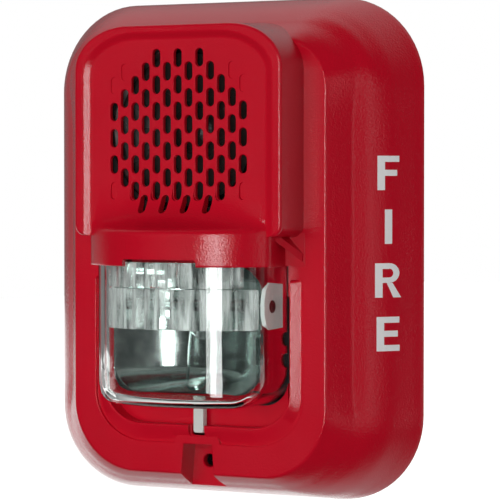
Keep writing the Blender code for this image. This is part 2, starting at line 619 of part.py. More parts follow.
# ---------------------------------------------------------------- mounting screw
def make_mounting_screw():
    """Captive screw sunk in the notch, and the washer that keeps it in its boss."""
    z = NOTCH_HEIGHT
    screw = turned("mounting_screw", [(0.0, 17.0), (1.35, 17.0), (1.6, 16.7), (1.6, 14.8), (1.15, 14.8),
                                      (1.15, 0.8), (0.0, 0.8)], 0, z, dark_steel, steps=16, depth=14.8)
    combine(screw, [box("screw_drive", (-0.9, 15.9, z - 0.25), (0.9, 18.0, z + 0.25), cutters)], "DIFFERENCE")
    washer = turned("retaining_washer", [(2.7, 6.2), (2.7, 5.4), (1.4, 5.4), (1.4, 6.2)], 0, z, white_plastic,
                    closed=True, steps=16, depth=5.4)
    return [screw], [washer]


# ---------------------------------------------------------------- assembly
def group(name, location, members, parent=None):
    """Empty on a body's joint axis that carries its pieces without moving them."""
    empty = bpy.data.objects.new(name, None)
    empty.empty_display_size = 0.01
    parts.objects.link(empty)
    empty.location = [value * MM for value in location]
    if parent:
        empty.parent = parent
        empty.matrix_parent_inverse = Matrix.Translation(parent.location).inverted()
    spot = Matrix.Translation(empty.location).inverted()
    for member in members:
        member.parent = empty
        member.matrix_parent_inverse = spot
    return empty


wall_group = group("wall_side", (0, 0, 0), make_mounting_plate() + make_terminals())
selector, dial_piece = make_controls()
fixed_sounder, moving_cone = make_sounder()
screw_piece, washer_piece = make_mounting_screw()
head = group("head_tilt", (0, -HINGE_DEPTH, HINGE_HEIGHT),
             make_front_housing() + make_rear_cover() + make_cover_screws() + make_board()
             + fixed_sounder + make_strobe())
group("candela_travel", (LENS_HALF + 1.4, -19.0, -16.5), selector, head)
group("dial_turn", (DIAL_X, -5.1, DIAL_Z), dial_piece, head)
group("cone_travel", (0, -28.0, SPEAKER_HEIGHT), moving_cone, head)
carrier = group("screw_travel", (0, -5.4, NOTCH_HEIGHT), washer_piece, head)
group("screw_turn", (0, -14.8, NOTCH_HEIGHT), screw_piece, carrier)
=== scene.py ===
"""Looks of a wall mounted horn strobe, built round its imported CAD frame."""
import math

import bmesh
import bpy
import numpy as np
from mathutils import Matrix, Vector


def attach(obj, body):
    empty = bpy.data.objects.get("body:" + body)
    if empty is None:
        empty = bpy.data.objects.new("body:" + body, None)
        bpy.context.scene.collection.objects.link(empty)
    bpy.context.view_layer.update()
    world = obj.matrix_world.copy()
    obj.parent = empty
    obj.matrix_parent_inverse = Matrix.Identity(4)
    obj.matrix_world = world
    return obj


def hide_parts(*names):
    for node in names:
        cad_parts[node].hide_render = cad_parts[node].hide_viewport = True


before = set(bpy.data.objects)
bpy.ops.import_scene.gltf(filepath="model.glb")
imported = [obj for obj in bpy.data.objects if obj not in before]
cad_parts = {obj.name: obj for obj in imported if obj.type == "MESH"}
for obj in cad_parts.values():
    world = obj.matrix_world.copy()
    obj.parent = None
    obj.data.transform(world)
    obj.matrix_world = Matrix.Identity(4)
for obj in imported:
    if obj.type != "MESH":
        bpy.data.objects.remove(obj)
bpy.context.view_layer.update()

# ---------------------------------------------------------------- mounting plate
# The plate is injection moulded in black ABS and screwed to the wall box. Its finish
# is the fine spark eroded grain that hides sink marks on parts nobody looks at.
MM = 0.001


def linear(code):
    """An sRGB hex colour as linear red, green, blue and full alpha."""
    values = [int(code[i:i + 2], 16) / 255 for i in (1, 3, 5)]
    return [v / 12.92 if v <= 0.04045 else ((v + 0.055) / 1.055) ** 2.4 for v in values] + [1.0]


def add(tree, kind, sockets=None, **settings):
    """Add a shader node with its settings, and set or link its inputs."""
    item = tree.nodes.new("ShaderNode" + kind)
    for key, value in settings.items():
        setattr(item, key, value)
    for key, value in (sockets or {}).items():
        if isinstance(value, bpy.types.NodeSocket):
            tree.links.new(value, item.inputs[key])
        else:
            item.inputs[key].default_value = value
    return item


def material(name, roughness=0.4, metallic=0.0, **more):
    """A node material with one Principled shader, returned with its tree and shader."""
    made = bpy.data.materials.new(name)
    made.use_nodes = True
    tree = made.node_tree
    shader = tree.nodes["Principled BSDF"]
    shader.inputs["Roughness"].default_value = roughness
    shader.inputs["Metallic"].default_value = metallic
    for key, value in more.items():
        shader.inputs[key.replace("_", " ")].default_value = value
    return made, tree, shader


def grain(tree, shader, size, depth, strength=1.0):
    """Pebbled mould grain: bumps of a real size in millimetres, from 3D noise."""
    place = add(tree, "TexCoord").outputs["Object"]
    pebbles = add(tree, "TexNoise", {"Vector": place, "Scale": 1000 / size, "Detail": 2.0,
                                     "Roughness": 0.55})
    bump = add(tree, "Bump", {"Height": pebbles.outputs["Fac"], "Distance": depth * MM,
                              "Strength": strength})
    tree.links.new(bump.outputs["Normal"], shader.inputs["Normal"])
    return place


def shade_range(tree, shader, place, low, high, size, detail=3.0):
    """Colour that drifts between two close hex tones over patches of a real size."""
    drift = add(tree, "TexNoise", {"Vector": place, "Scale": 1000 / size, "Detail": detail})
    mix = add(tree, "Mix", {0: drift.outputs["Fac"]}, data_type="RGBA")
    mix.inputs[6].default_value = linear(low)
    mix.inputs[7].default_value = linear(high)
    tree.links.new(mix.outputs[2], shader.inputs["Base Color"])


def worn_gloss(tree, shader, place, low, high, size):
    """Roughness that drifts between two values, as handling and flow marks leave it."""
    cloud = add(tree, "TexNoise", {"Vector": place, "Scale": 1000 / size, "Detail": 4.0})
    spread = add(tree, "MapRange", {0: cloud.outputs["Fac"], 1: 0.3, 2: 0.7, 3: low, 4: high})
    tree.links.new(spread.outputs[0], shader.inputs["Roughness"])


def plain_plastic(name, low, high, roughness, size=0.4, depth=0.02):
    """Moulded thermoplastic: IOR 1.5, two close tones, mould grain, patchy gloss."""
    made, tree, shader = material(name, roughness, IOR=1.5)
    place = grain(tree, shader, size, depth)
    shade_range(tree, shader, place, low, high, 9.0)
    worn_gloss(tree, shader, place, roughness - 0.06, roughness + 0.08, 14.0)
    return made


def dress(node, made):
    """Give a carried-over CAD node its finish."""
    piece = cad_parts[node]
    for slot in piece.material_slots:
        slot.material = made


black_abs = plain_plastic("black_abs_spark_grain", "#17181a", "#222326", 0.5, 0.5, 0.03)
dress("mounting_plate", black_abs)

# ---------------------------------------------------------------- terminal block
# Glass filled nylon block, moulded in mid grey, with zinc plated steel clamps and
# screws, and a sprung brass strip that bridges the line until the head is fitted.
grey_nylon = plain_plastic("grey_filled_nylon", "#6d6f72", "#7d7f80", 0.55, 0.3, 0.015)
dress("terminal_block", grey_nylon)


def plated(name, low, high, roughness, size=1.2):
    """Plated or bare metal: default IOR, faint mottled tone and drawn-in scratches."""
    made, tree, shader = material(name, roughness, 1.0)
    place = add(tree, "TexCoord").outputs["Object"]
    shade_range(tree, shader, place, low, high, size)
    worn_gloss(tree, shader, place, roughness - 0.07, roughness + 0.12, 3.0)
    stretch = add(tree, "Mapping", {"Vector": place, "Scale": (1.0, 1.0, 0.08)})
    lines = add(tree, "TexNoise", {"Vector": stretch.outputs[0], "Scale": 5200.0, "Detail": 2.0})
    bump = add(tree, "Bump", {"Height": lines.outputs["Fac"], "Distance": 0.004 * MM, "Strength": 0.6})
    tree.links.new(bump.outputs["Normal"], shader.inputs["Normal"])
    return made


zinc_plate = plated("zinc_plated_steel", "#a9abac", "#c9cac6", 0.3)
spring_brass = plated("rolled_spring_brass", "#b08d4c", "#c9a765", 0.28)
for number in range(1, 5):
    dress(f"clamp_plate_{number}", zinc_plate)
    dress(f"terminal_screw_{number}", zinc_plate)
    dress(f"contact_pin_{number}", spring_brass)
    dress(f"cover_screw_{number}", zinc_plate)
dress("shorting_spring", spring_brass)

# ---------------------------------------------------------------- rear cover
# Black ABS tray behind the head, moulded with the same grain as the plate.
dress("rear_cover", black_abs)

# ---------------------------------------------------------------- circuit board
# Fibreglass board under green solder mask, with its parts: sleeved electrolytic
# capacitor, potted trigger coil, copper wound inductor and a moulded chip.
solder_mask = plain_plastic("green_solder_mask", "#0d4a26", "#12592f", 0.32, 0.8, 0.01)
sleeve = plain_plastic("shrink_sleeve_black", "#15161a", "#1c1d22", 0.3, 0.6, 0.004)
epoxy = plain_plastic("moulded_epoxy_black", "#131313", "#1b1b1b", 0.5, 0.25, 0.01)
enamel_wire = plated("enamelled_copper_wire", "#8a4a1e", "#a86230", 0.35)
dress("circuit_board", solder_mask)
dress("flash_capacitor", sleeve)
dress("trigger_coil", epoxy)
dress("control_chip", epoxy)
dress("power_inductor", enamel_wire)

# ---------------------------------------------------------------- sounder
# Loudspeaker behind the grille: zinc plated steel basket, ferrite magnet, foam gasket
# and a pressed paper cone, whose dark half gloss lacquer is what shows in the slots.
ferrite = plain_plastic("sintered_ferrite", "#1b1b1d", "#29292b", 0.6, 0.3, 0.02)
foam = plain_plastic("closed_cell_foam", "#161616", "#242424", 0.9, 0.5, 0.15)
dress("sounder_basket", zinc_plate)
dress("sounder_magnet", ferrite)
dress("sounder_gasket", foam)
lacquered_paper = plain_plastic("lacquered_paper_cone", "#1c1c1b", "#2b2a28", 0.26, 0.35, 0.04)
dress("sounder_cone", lacquered_paper)

# ---------------------------------------------------------------- front housing
# One shell of red ABS about 2 mm thick, injection moulded. Sounder block, visor, lens
# pocket and screw notch are one moulding, with small radii on every outer edge.
PAD = 25.6                  # depth of the flat pad, counted from the wall
BLOCK_FRONT = 38.2
PANEL = 36.9                # grille panel, just sunk in the block
SHELL = 2.0
VISOR_HALF = 28.8
VISOR_LOW = -4.3


def closed(name, rings):
    """Closed mesh object through rings of (x, depth, z) points in millimetres."""
    shape = bmesh.new()
    loops = [[shape.verts.new((x * MM, -depth * MM, z * MM)) for x, depth, z in ring]
             for ring in rings]
    for first, second in zip(loops, loops[1:]):
        for here in range(len(first)):
            there = (here + 1) % len(first)
            shape.faces.new((first[here], first[there], second[there], second[here]))
    shape.faces.new(loops[0][::-1])
    shape.faces.new(loops[-1])
    bmesh.ops.recalc_face_normals(shape, faces=shape.faces[:])
    data = bpy.data.meshes.new(name)
    shape.to_mesh(data)
    shape.free()
    item = bpy.data.objects.new(name, data)
    bpy.context.scene.collection.objects.link(item)
    return item


def outline(half, top, bottom, top_corner, low_corner, steps=16, side=26, across=8):
    """Upright rounded outline as (x, z) points, its corners (wide, high) ellipses."""
    arcs = []
    for sign, level, (wide, high), start in (
            (1, bottom, low_corner, -90), (1, top, top_corner, 0),
            (-1, top, top_corner, 90), (-1, bottom, low_corner, 180)):
        middle = level - high if level == top else level + high
        angles = [math.radians(start + 90 * k / steps) for k in range(steps + 1)]
        arcs.append([(sign * (half - wide) + wide * math.cos(a), middle + high * math.sin(a))
                     for a in angles])
    points = []
    for number, arc in enumerate(arcs):
        points += arc
        after = arcs[(number + 1) % 4][0]
        cuts = side if number % 2 == 0 else across
        for k in range(1, cuts):
            part = k / cuts
            points.append((arc[-1][0] + (after[0] - arc[-1][0]) * part,
                           arc[-1][1] + (after[1] - arc[-1][1]) * part))
    return points


def stack(name, levels):
    """Closed solid from upright outlines, given as (depth, points) from back to front."""
    return closed(name, [[(x, depth, z) for x, z in points] for depth, points in levels])


def straight(name, points, back, front):
    """Closed solid of one upright outline between two depths."""
    return stack(name, [(back, points), (front, points)])


def through(table, steps):
    """Smooth curve through rows of numbers that never overshoots; the first column runs."""
    rows = np.array(table, float)
    run, values = rows[:, :1], rows[:, 1:]
    gaps = np.diff(run, axis=0)
    slopes = np.diff(values, axis=0) / gaps
    tangents = np.vstack([slopes[:1], np.zeros_like(slopes[1:]), slopes[-1:]])
    before, after = 2 * gaps[1:] + gaps[:-1], gaps[1:] + 2 * gaps[:-1]
    same = slopes[:-1] * slopes[1:] > 0
    safe = np.where(same, slopes[:-1], 1.0), np.where(same, slopes[1:], 1.0)
    tangents[1:-1] = np.where(same, (before + after) / (before / safe[0] + after / safe[1]), 0.0)
    result = []
    for k in range(len(rows) - 1):
        for t in np.arange(0, 1, 1 / steps):
            middle = (values[k] * (1 + 2 * t) * (1 - t) ** 2 + values[k + 1] * t * t * (3 - 2 * t)
                      + gaps[k] * (tangents[k] * t * (1 - t) ** 2 + tangents[k + 1] * t * t * (t - 1)))
            result.append([run[k, 0] + gaps[k, 0] * t, *middle])
    result.append(list(rows[-1]))
    return result


def ease(value, low, high):
    """Smooth step from 0 at low to 1 at high."""
    t = min(max((value - low) / (high - low), 0.0), 1.0)
    return t * t * (3 - 2 * t)


def edge_round(surface, radius, steps=4):
    """(depth, shrink) pairs of a convex quarter round that ends on a front surface."""
    turns = [math.pi / 2 * k / steps for k in range(steps + 1)]
    return [(surface - radius + radius * math.sin(t), radius * (1 - math.cos(t))) for t in turns]


def carve(target, tools, operation="DIFFERENCE"):
    """Apply exact Booleans at once and throw the tools away."""
    for tool in tools:
        step = target.modifiers.new("step", "BOOLEAN")
        step.operation = operation
        step.solver = "EXACT"
        step.object = tool
        seen = target.evaluated_get(bpy.context.evaluated_depsgraph_get())
        made = bpy.data.meshes.new_from_object(seen)
        target.modifiers.clear()
        target.data = made
        bpy.data.objects.remove(tool, do_unlink=True)
    return target


def smooth(item, angle=34, weighted=True):
    """Shade smooth but for edges sharper than the angle; large faces stay flat."""
    item.data.shade_smooth()
    item.data.set_sharp_from_angle(angle=math.radians(angle))
    if weighted:
        normals = item.modifiers.new("normals", "WEIGHTED_NORMAL")
        normals.keep_sharp = True
    return item


# Rows of depth, half width where the flank is creased, half width where it isn't, top,
# bottom and corner radii.
FLANK = ((1.5, 59.1, 59.1, 71.7, -71.7, 25.5, 25.0), (3.6, 57.7, 57.8, 71.2, -71.45, 25.4, 24.9),
         (5.5, 56.5, 56.7, 70.6, -71.1, 25.1, 24.8), (8.0, 54.9, 55.3, 69.7, -70.7, 24.6, 24.6),
         (10.5, 53.2, 53.9, 68.6, -70.2, 23.8, 24.3), (13.0, 51.2, 52.2, 67.3, -69.6, 22.6, 24.0),
         (15.5, 48.9, 50.2, 65.8, -68.9, 20.6, 23.5), (17.5, 46.7, 48.4, 64.5, -68.2, 19.5, 23.1),
         (18.6, 45.5, 47.4, 63.7, -67.7, 18.7, 22.7), (19.8, 44.6, 46.3, 62.9, -67.1, 17.8, 22.3),
         (22.3, 42.8, 43.8, 61.3, -65.9, 15.7, 21.2), (24.9, 40.9, 41.0, 59.6, -64.4, 13.9, 20.2))


def flank_ring(row, shrink=0.0):
    """Outline of the sloping body at one depth; its sides are creased at mid height."""
    depth, creased, plain, top, bottom, high, low = row
    ring = []
    for x, z in outline(plain - shrink, top - shrink, bottom + shrink, (high, high), (low, low)):
        waist = 1 - ease(abs(z + 1.0), 36, 58)
        ring.append((x * (1 + (creased / plain - 1) * waist), depth, z))
    return ring


flank = through(FLANK, 4)
rings = [flank_ring((0.6, 59.25, 59.25, *FLANK[0][3:]), 0.25),
         flank_ring((0.85, 59.4, 59.4, *FLANK[0][3:]))]
rings += [flank_ring(row) for row in flank]
rings += [flank_ring((depth, *FLANK[-1][1:]), 0.45 * (depth - 24.9) / 0.7 + shrink)
          for depth, shrink in edge_round(PAD, 0.45)[1:]]
housing = closed("front_housing_shell", rings)

# Shallow step round the lens, kept as a collar round the screw notch.
def rounded_cut(name, levels_at, floor, surface, radius, reach=8.0):
    """Cutter with a rounded mouth: levels_at(grow) gives its outline grown by a length."""
    mouth = [(depth, levels_at(shrink)) for depth, shrink in edge_round(surface, radius)]
    return stack(name, [(floor, levels_at(0.0))] + mouth + [(surface + reach, levels_at(radius))])


def step_outline(grow):
    """Outline of the shallow step in the pad."""
    return outline(33.4 + grow, -8.0, -55.2 - grow, (1.0, 1.0), (15.5, 14.0), 12, 4, 4)


def collar_outline(grow):
    """Tapered collar of full pad height round the notch."""
    return [(-6.4 - grow, -53.2 + grow), (-8.8 - grow, -60.0),
            (8.8 + grow, -60.0), (6.4 + grow, -53.2 + grow)]


step_cut = rounded_cut("step_cut", step_outline, 24.8, PAD, 0.3)
carve(step_cut, [stack("collar", [(20.0, collar_outline(0.3)), (PAD - 0.25, collar_outline(0.25)),
                                  (PAD + 0.3, collar_outline(0.0)), (40.0, collar_outline(0.0))])])
carve(housing, [step_cut])


def block_outline(shrink):
    """Outline of the sounder block: long soft corners on top, small ones below."""
    return outline(33.1 - shrink, 63.3 - shrink, 4.0 + shrink, (17.0 - shrink, 12.5 - shrink),
                   (3.0 - shrink, 3.0 - shrink), 20, 6, 10)


block_levels = [(14.0, outline(34.7, 64.5, 3.4, (18.6, 13.7), (3.4, 3.4), 20, 6, 10)),
                (32.0, block_outline(-0.12))]
block_levels += [(depth, block_outline(shrink)) for depth, shrink in edge_round(BLOCK_FRONT, 1.1, 6)]
block = stack("block", block_levels)


def recess_outline(grow):
    """Outline of the sunk grille panel, open at its lower end."""
    return outline(27.4 + grow, 58.9 + grow * 0.8, -12.0, (14.0 + grow, 9.5 + grow * 0.8), (2.0, 2.0),
                   20, 6, 10)


recess_rows = [(0.0, 0.0), (0.12, 0.7), (0.38, 1.25), (0.75, 1.85), (1.08, 2.45), (1.24, 2.85),
               (1.3, 3.3), (1.32, 4.2)]
recess = stack("recess", [(PANEL + rise, recess_outline(grow)) for rise, grow in recess_rows])
carve(block, [recess])


def bulge(x, half, edge, crown):
    """Depth at x of an arc that swells from the edge depth to the crown depth."""
    rise = max(crown - edge, 0.001)
    radius = (half ** 2 + rise ** 2) / (2 * rise)
    return crown - radius + math.sqrt(max(radius ** 2 - x ** 2, 0.0))


VISOR = ((-4.3, 36.1, 49.15), (-4.05, 36.2, 49.42), (-3.6, 36.2, 49.48), (0.0, 36.2, 49.48),
         (3.9, 36.2, 49.48), (4.8, 36.2, 49.4), (5.5, 36.2, 49.0), (6.2, 36.2, 47.9), (7.0, 36.2, 46.0),
         (8.2, 36.25, 43.5), (9.8, 36.35, 41.2), (12.0, 36.5, 39.2), (14.5, 36.7, 37.8),
         (17.5, 36.82, 37.05), (21.0, 36.86, 36.87))


def visor_plan(half, edge, crown, z, back=PAD - 3.0, arc=56):
    """Plan of the visor at one height, with a small radius where the sides meet the front."""
    ring = [(half, back, z), (-half, back, z), (-half, edge - 1.0, z), (-half + 0.12, edge - 0.45, z)]
    for k in range(arc + 1):
        x = (half - 0.4) * (2 * k / arc - 1)
        ring.append((x, bulge(x, half, edge, crown), z))
    return ring + [(half - 0.12, edge - 0.45, z), (half, edge - 1.0, z)]


visor = closed("visor", [visor_plan(VISOR_HALF, edge, crown, z) for z, edge, crown in through(VISOR, 4)])
webs = []
for side in (-1, 1):
    ring = [(27.6, 23.4), (34.0, 23.4), (34.2, PAD + 0.3), (33.2, 26.1), (29.4, 26.9), (27.6, 27.3)]
    webs.append(closed("web", [[(side * x, depth, z) for x, depth in ring]
                               for z in (VISOR_LOW + 0.05, -2.0, 5.0)]))
    webs.append(closed("web_rib", [[(side * (28.2 + a), depth, 4.6 - 1.15 * a + b) for a, depth in
                                    ((0.0, 24.0), (5.6, 24.0), (5.6, PAD + 0.9), (0.0, 34.0))]
                                   for b in (-1.1, 1.1)]))
carve(housing, [block, visor] + webs, "UNION")

# Hollow of the shell, with the lens tub, the notch tub and the screw bosses left in it.
def hollow_ring(depth, half, top, bottom, high, low):
    """Outline of the inside of the shell at one depth."""
    return depth, outline(half, top, bottom, (high, high), (low, low), 8, 2, 2)


hollow = stack("hollow", [
    hollow_ring(-1.0, 57.5, 69.75, -69.75, 23.5, 23.0), hollow_ring(1.6, 57.5, 69.75, -69.75, 23.5, 23.0),
    hollow_ring(8.0, 52.9, 67.8, -68.7, 20.5, 22.5), hollow_ring(13.0, 49.0, 65.3, -67.6, 20.0, 22.0),
    hollow_ring(19.0, 42.6, 61.3, -65.6, 17.0, 21.0), hollow_ring(23.6, 38.4, 57.2, -62.0, 11.5, 18.0)])
block_hollow = stack("block_hollow", [
    (15.0, outline(32.4, 62.2, 5.6, (12.0, 11.0), (2.0, 2.0), 8, 2, 2)),
    (PANEL - 1.3, outline(31.0, 61.2, 6.0, (15.0, 10.5), (2.0, 2.0), 8, 2, 2))])
visor_hollow = closed("visor_hollow", [
    visor_plan(27.4, edge, crown, z, 20.0, 24) for z, edge, crown in (
        (-5.3, 35.1, 48.1), (4.0, 35.1, 48.1), (5.2, 34.6, 45.6), (7.6, 34.2, 40.6), (10.4, 34.0, 37.4),
        (15.0, 33.4, 34.8))])
carve(hollow, [block_hollow, visor_hollow], "UNION")


def notch_outline(grow, low=-76.0):
    """Tapered outline of the screw notch."""
    return [(-4.5 - grow, -55.5 + grow), (-6.3 - grow, low), (6.3 + grow, low), (4.5 + grow, -55.5 + grow)]


def disc(x, z, radius, steps=20):
    """Round outline about a point."""
    return [(x + radius * math.cos(2 * math.pi * k / steps), z + radius * math.sin(2 * math.pi * k / steps))
            for k in range(steps)]


SCREW_Z = -60.7             # height of the mounting screw's axis
BOSSES = [(x, z) for x in (-46, 46) for z in (-56, 56)]
tub = outline(31.6, VISOR_LOW, -52.0, (1.0, 1.0), (12.0, 12.0), 8, 2, 2)
kept = [straight("lens_tub", tub, 19.5, PAD),
        straight("notch_tub", notch_outline(SHELL), 16.3, PAD + 1.0),
        straight("screw_boss", disc(0, SCREW_Z, 3.4), 10.0, 18.3)]
kept += [straight("cover_boss", disc(x, z, 3.6), 7.1, 30.0) for x, z in BOSSES]
carve(hollow, kept)


def pocket_outline(grow):
    """Outline of the pocket that the lens sits in."""
    return outline(29.6 + grow, VISOR_LOW - 0.01, -50.0 - grow, (0.4, 0.4), (11.5, 10.5), 16, 4, 4)


def slot_outline(column, row, grow=0.0, steps=9):
    """Outline of one grille slot: 2.4 mm wide, 5.1 mm high, with round ends."""
    x0, z0, half = column * 3.43, 53.9 - row * 3.72, 1.2 + grow
    points = []
    for turn, shift in ((0, 1.35), (180, -1.35)):
        for k in range(steps + 1):
            angle = math.radians(turn + 180 * k / steps)
            points.append((x0 + half * math.cos(angle), z0 + shift + half * math.sin(angle)))
    return points


GRILLE = ((-2, 0, 2), (-3, -1, 1, 3), (-4, -2, 0, 2, 4), (-5, -3, -1, 1, 3, 5), (-6, -4, -2, 0, 2, 4, 6),
          (-5, -3, -1, 1, 3, 5), (-6, -4, -2, 0, 2, 4, 6), (-5, -3, -1, 1, 3, 5),
          (-6, -4, -2, 0, 2, 4, 6), (-5, -3, -1, 1, 3, 5), (-4, -2, 0, 2, 4), (-3, -1, 1, 3))
grille = []
for row, columns in enumerate(GRILLE):
    for column in columns:
        if row < 11:
            levels = [(PANEL - 5.0, slot_outline(column, row)), (PANEL - 0.3, slot_outline(column, row))]
            levels += [(depth, slot_outline(column, row, grow))
                       for depth, grow in edge_round(PANEL, 0.3, 3)[1:]]
            levels.append((PANEL + 6.0, slot_outline(column, row, 0.3)))
        else:
            levels = [(PANEL - 5.0, slot_outline(column, row)),
                      (PANEL + 12.0, slot_outline(column, row, 0.08))]
        grille.append(stack("slot", levels))
for row, column in ((1, -5), (1, 5), (2, -6), (2, 6), (10, -6), (10, 6)):
    grille.append(stack("blind_slot", [(PANEL - 0.35, slot_outline(column, row, -0.25)),
                                       (PANEL + 1.0, slot_outline(column, row, 0.05))]))
with bpy.context.temp_override(active_object=grille[0], selected_editable_objects=grille):
    bpy.ops.object.join()

# Sloped lip round the pocket, then every opening of the shell.
LIP_FRONT = 26.2            # front edge of the lip, a little proud of the pad
lip = stack("lip", [(22.0, step_outline(-0.35)), (24.55, step_outline(-0.35)),
                    (LIP_FRONT, outline(29.9, -8.7, -51.4, (0.7, 0.7), (12.5, 11.0), 12, 4, 4))])
carve(housing, [lip], "UNION")
lens_hole = outline(27.0, 1.0, -43.9, (0.5, 0.5), (7.5, 7.5), 8, 1, 1)
latch_hole = outline(2.2, -48.0, -52.9, (0.4, 0.4), (0.9, 0.9), 4, 1, 1)
latch_mouth = outline(2.6, -48.0, -53.3, (0.4, 0.4), (0.9, 0.9), 4, 1, 1)
visor_notch = outline(11.6, -2.3, -6.0, (0.8, 0.8), (0.2, 0.2), 4, 1, 1)
window = [(26.9, -13.0), (26.9, -42.0), (29.1, -42.0), (29.1, -13.0)]
openings = [
    hollow,
    rounded_cut("pocket", pocket_outline, 21.5, LIP_FRONT, 0.3, 14.0),
    straight("lens_hole", lens_hole, 14.0, 33.0),
    stack("latch_slot", [(22.6, latch_hole), (24.5, latch_hole), (24.9, latch_mouth), (40.0, latch_mouth)]),
    rounded_cut("notch", notch_outline, 18.3, PAD, 0.45),
    stack("screw_counterbore", [(14.5, disc(0, SCREW_Z, 1.9)), (18.0, disc(0, SCREW_Z, 1.9)),
                                (18.35, disc(0, SCREW_Z, 2.2)), (20.0, disc(0, SCREW_Z, 2.2))]),
    straight("screw_bore", disc(0, SCREW_Z, 1.5), 8.0, 15.0),
    straight("visor_notch", visor_notch, 38.0, 52.0),
    grille[0]]
openings += [straight("boss_bore", disc(x, z, 1.6, 12), 2.0, 11.0) for x, z in BOSSES]
openings.append(straight("selector_window", window, 14.0, 30.0))
carve(housing, openings)


def red_moulding():
    """Red ABS straight from a pebbled mould: a clean saturated red whose grain breaks
    every highlight into fine sparkle, with broad faint changes of gloss."""
    made, tree, shader = material("red_abs_pebble_grain", 0.18, IOR=1.5)
    place = grain(tree, shader, 0.5, 0.075, 1.0)
    shade_range(tree, shader, place, "#be0a22", "#c80b25", 16.0)
    worn_gloss(tree, shader, place, 0.12, 0.17, 11.0)
    return made


red_abs = red_moulding()
housing.data.materials.clear()
housing.data.materials.append(red_abs)
smooth(housing, 26)
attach(housing, "head")
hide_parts("front_housing")

# Red bed behind the lens, with a scalloped right edge and a hole over the mirror.
bed_edge = [(16.7 + 8.0 * math.sin(math.radians(a)), -33.3 - 8.0 * math.cos(math.radians(a)))
            for a in range(0, 76, 15)]
for middle in (-31.0, -25.0):
    bed_edge += [(24.7 - 1.5 * math.cos(math.radians(a)), middle + 2.0 * math.sin(math.radians(a)))
                 for a in range(-90, 91, 18)]
bed_edge += [(24.7, -1.9), (-24.7, -1.9)]
bed_edge += [(-16.7 - 8.0 * math.sin(math.radians(a)), -33.3 - 8.0 * math.cos(math.radians(a)))
             for a in range(90, -1, -15)]
bed_hole = outline(12.0, -4.0, -40.2, (2.0, 2.0), (2.0, 2.0), 4, 1, 1)
lens_bed = straight("lens_bed", bed_edge, 20.0, 21.0)
carve(lens_bed, [straight("bed_hole", bed_hole, 19.0, 22.0)])
lens_bed.data.materials.clear()
lens_bed.data.materials.append(red_abs)
smooth(lens_bed)
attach(lens_bed, "head")

# ---------------------------------------------------------------- printed word
# The function word is pad printed on the right flank in pale ink, one letter under another.
# It is plain block lettering, and the ink is a few hundredths of a millimetre thick.
LETTER_HIGH = 9.6
LETTER_LINE = 11.2          # middle of the letters, measured inward from the rim
FIRST_LETTER = 21.7         # height of the middle of the top letter
LETTER_STEP = 15.0
INK = 0.05
STROKES = {                 # bars as (left, low, right, high), in millimetres
    "F": ((0, 0, 2.3, 9.6), (2.3, 7.9, 6.9, 9.6), (2.3, 4.0, 6.2, 5.7)),
    "I": ((0, 0, 2.3, 9.6),),
    "E": ((0, 0, 2.3, 9.6), (2.3, 7.9, 7.2, 9.6), (2.3, 4.0, 6.7, 5.7), (2.3, 0, 7.3, 1.7))}
flank_run = [(row[1], row[0]) for row in flank]
steps_along = [math.dist(a, b) for a, b in zip(flank_run, flank_run[1:])]
reach_along = np.concatenate([[0.0], np.cumsum(steps_along)])


def on_flank(along, z, lift):
    """Point on the right flank, a distance inward from its rim and lifted off its surface."""
    x = float(np.interp(along, reach_along, [p[0] for p in flank_run]))
    depth = float(np.interp(along, reach_along, [p[1] for p in flank_run]))
    ahead = float(np.interp(along + 0.2, reach_along, [p[0] for p in flank_run]))
    deeper = float(np.interp(along + 0.2, reach_along, [p[1] for p in flank_run]))
    run = math.hypot(ahead - x, deeper - depth)
    return Vector((x + lift * (deeper - depth) / run, -(depth + lift * (x - ahead) / run), z)) * MM


def letter_outlines(letter):
    """Outlines of a letter as lists of quads in (across, up)."""
    if letter != "R":
        return [((a, b), (c, b), (c, d), (a, d)) for a, b, c, d in STROKES[letter]]
    quads = [((0, 0), (2.3, 0), (2.3, 9.6), (0, 9.6)), ((2.3, 8.0), (4.4, 8.0), (4.4, 9.6), (2.3, 9.6)),
             ((2.3, 4.1), (4.4, 4.1), (4.4, 5.6), (2.3, 5.6)),
             ((3.6, 4.1), (5.4, 4.1), (8.3, 0.0), (5.7, 0.0))]
    for k in range(12):
        low, high = (math.radians(-90 + 15 * (k + j)) for j in (0, 1))
        quads.append(tuple((4.4 + r * 1.18 * math.cos(a), 6.85 + s * math.sin(a)) for r, s, a in (
            (1.1, 1.25, low), (2.8, 2.75, low), (2.8, 2.75, high), (1.1, 1.25, high))))
    return quads


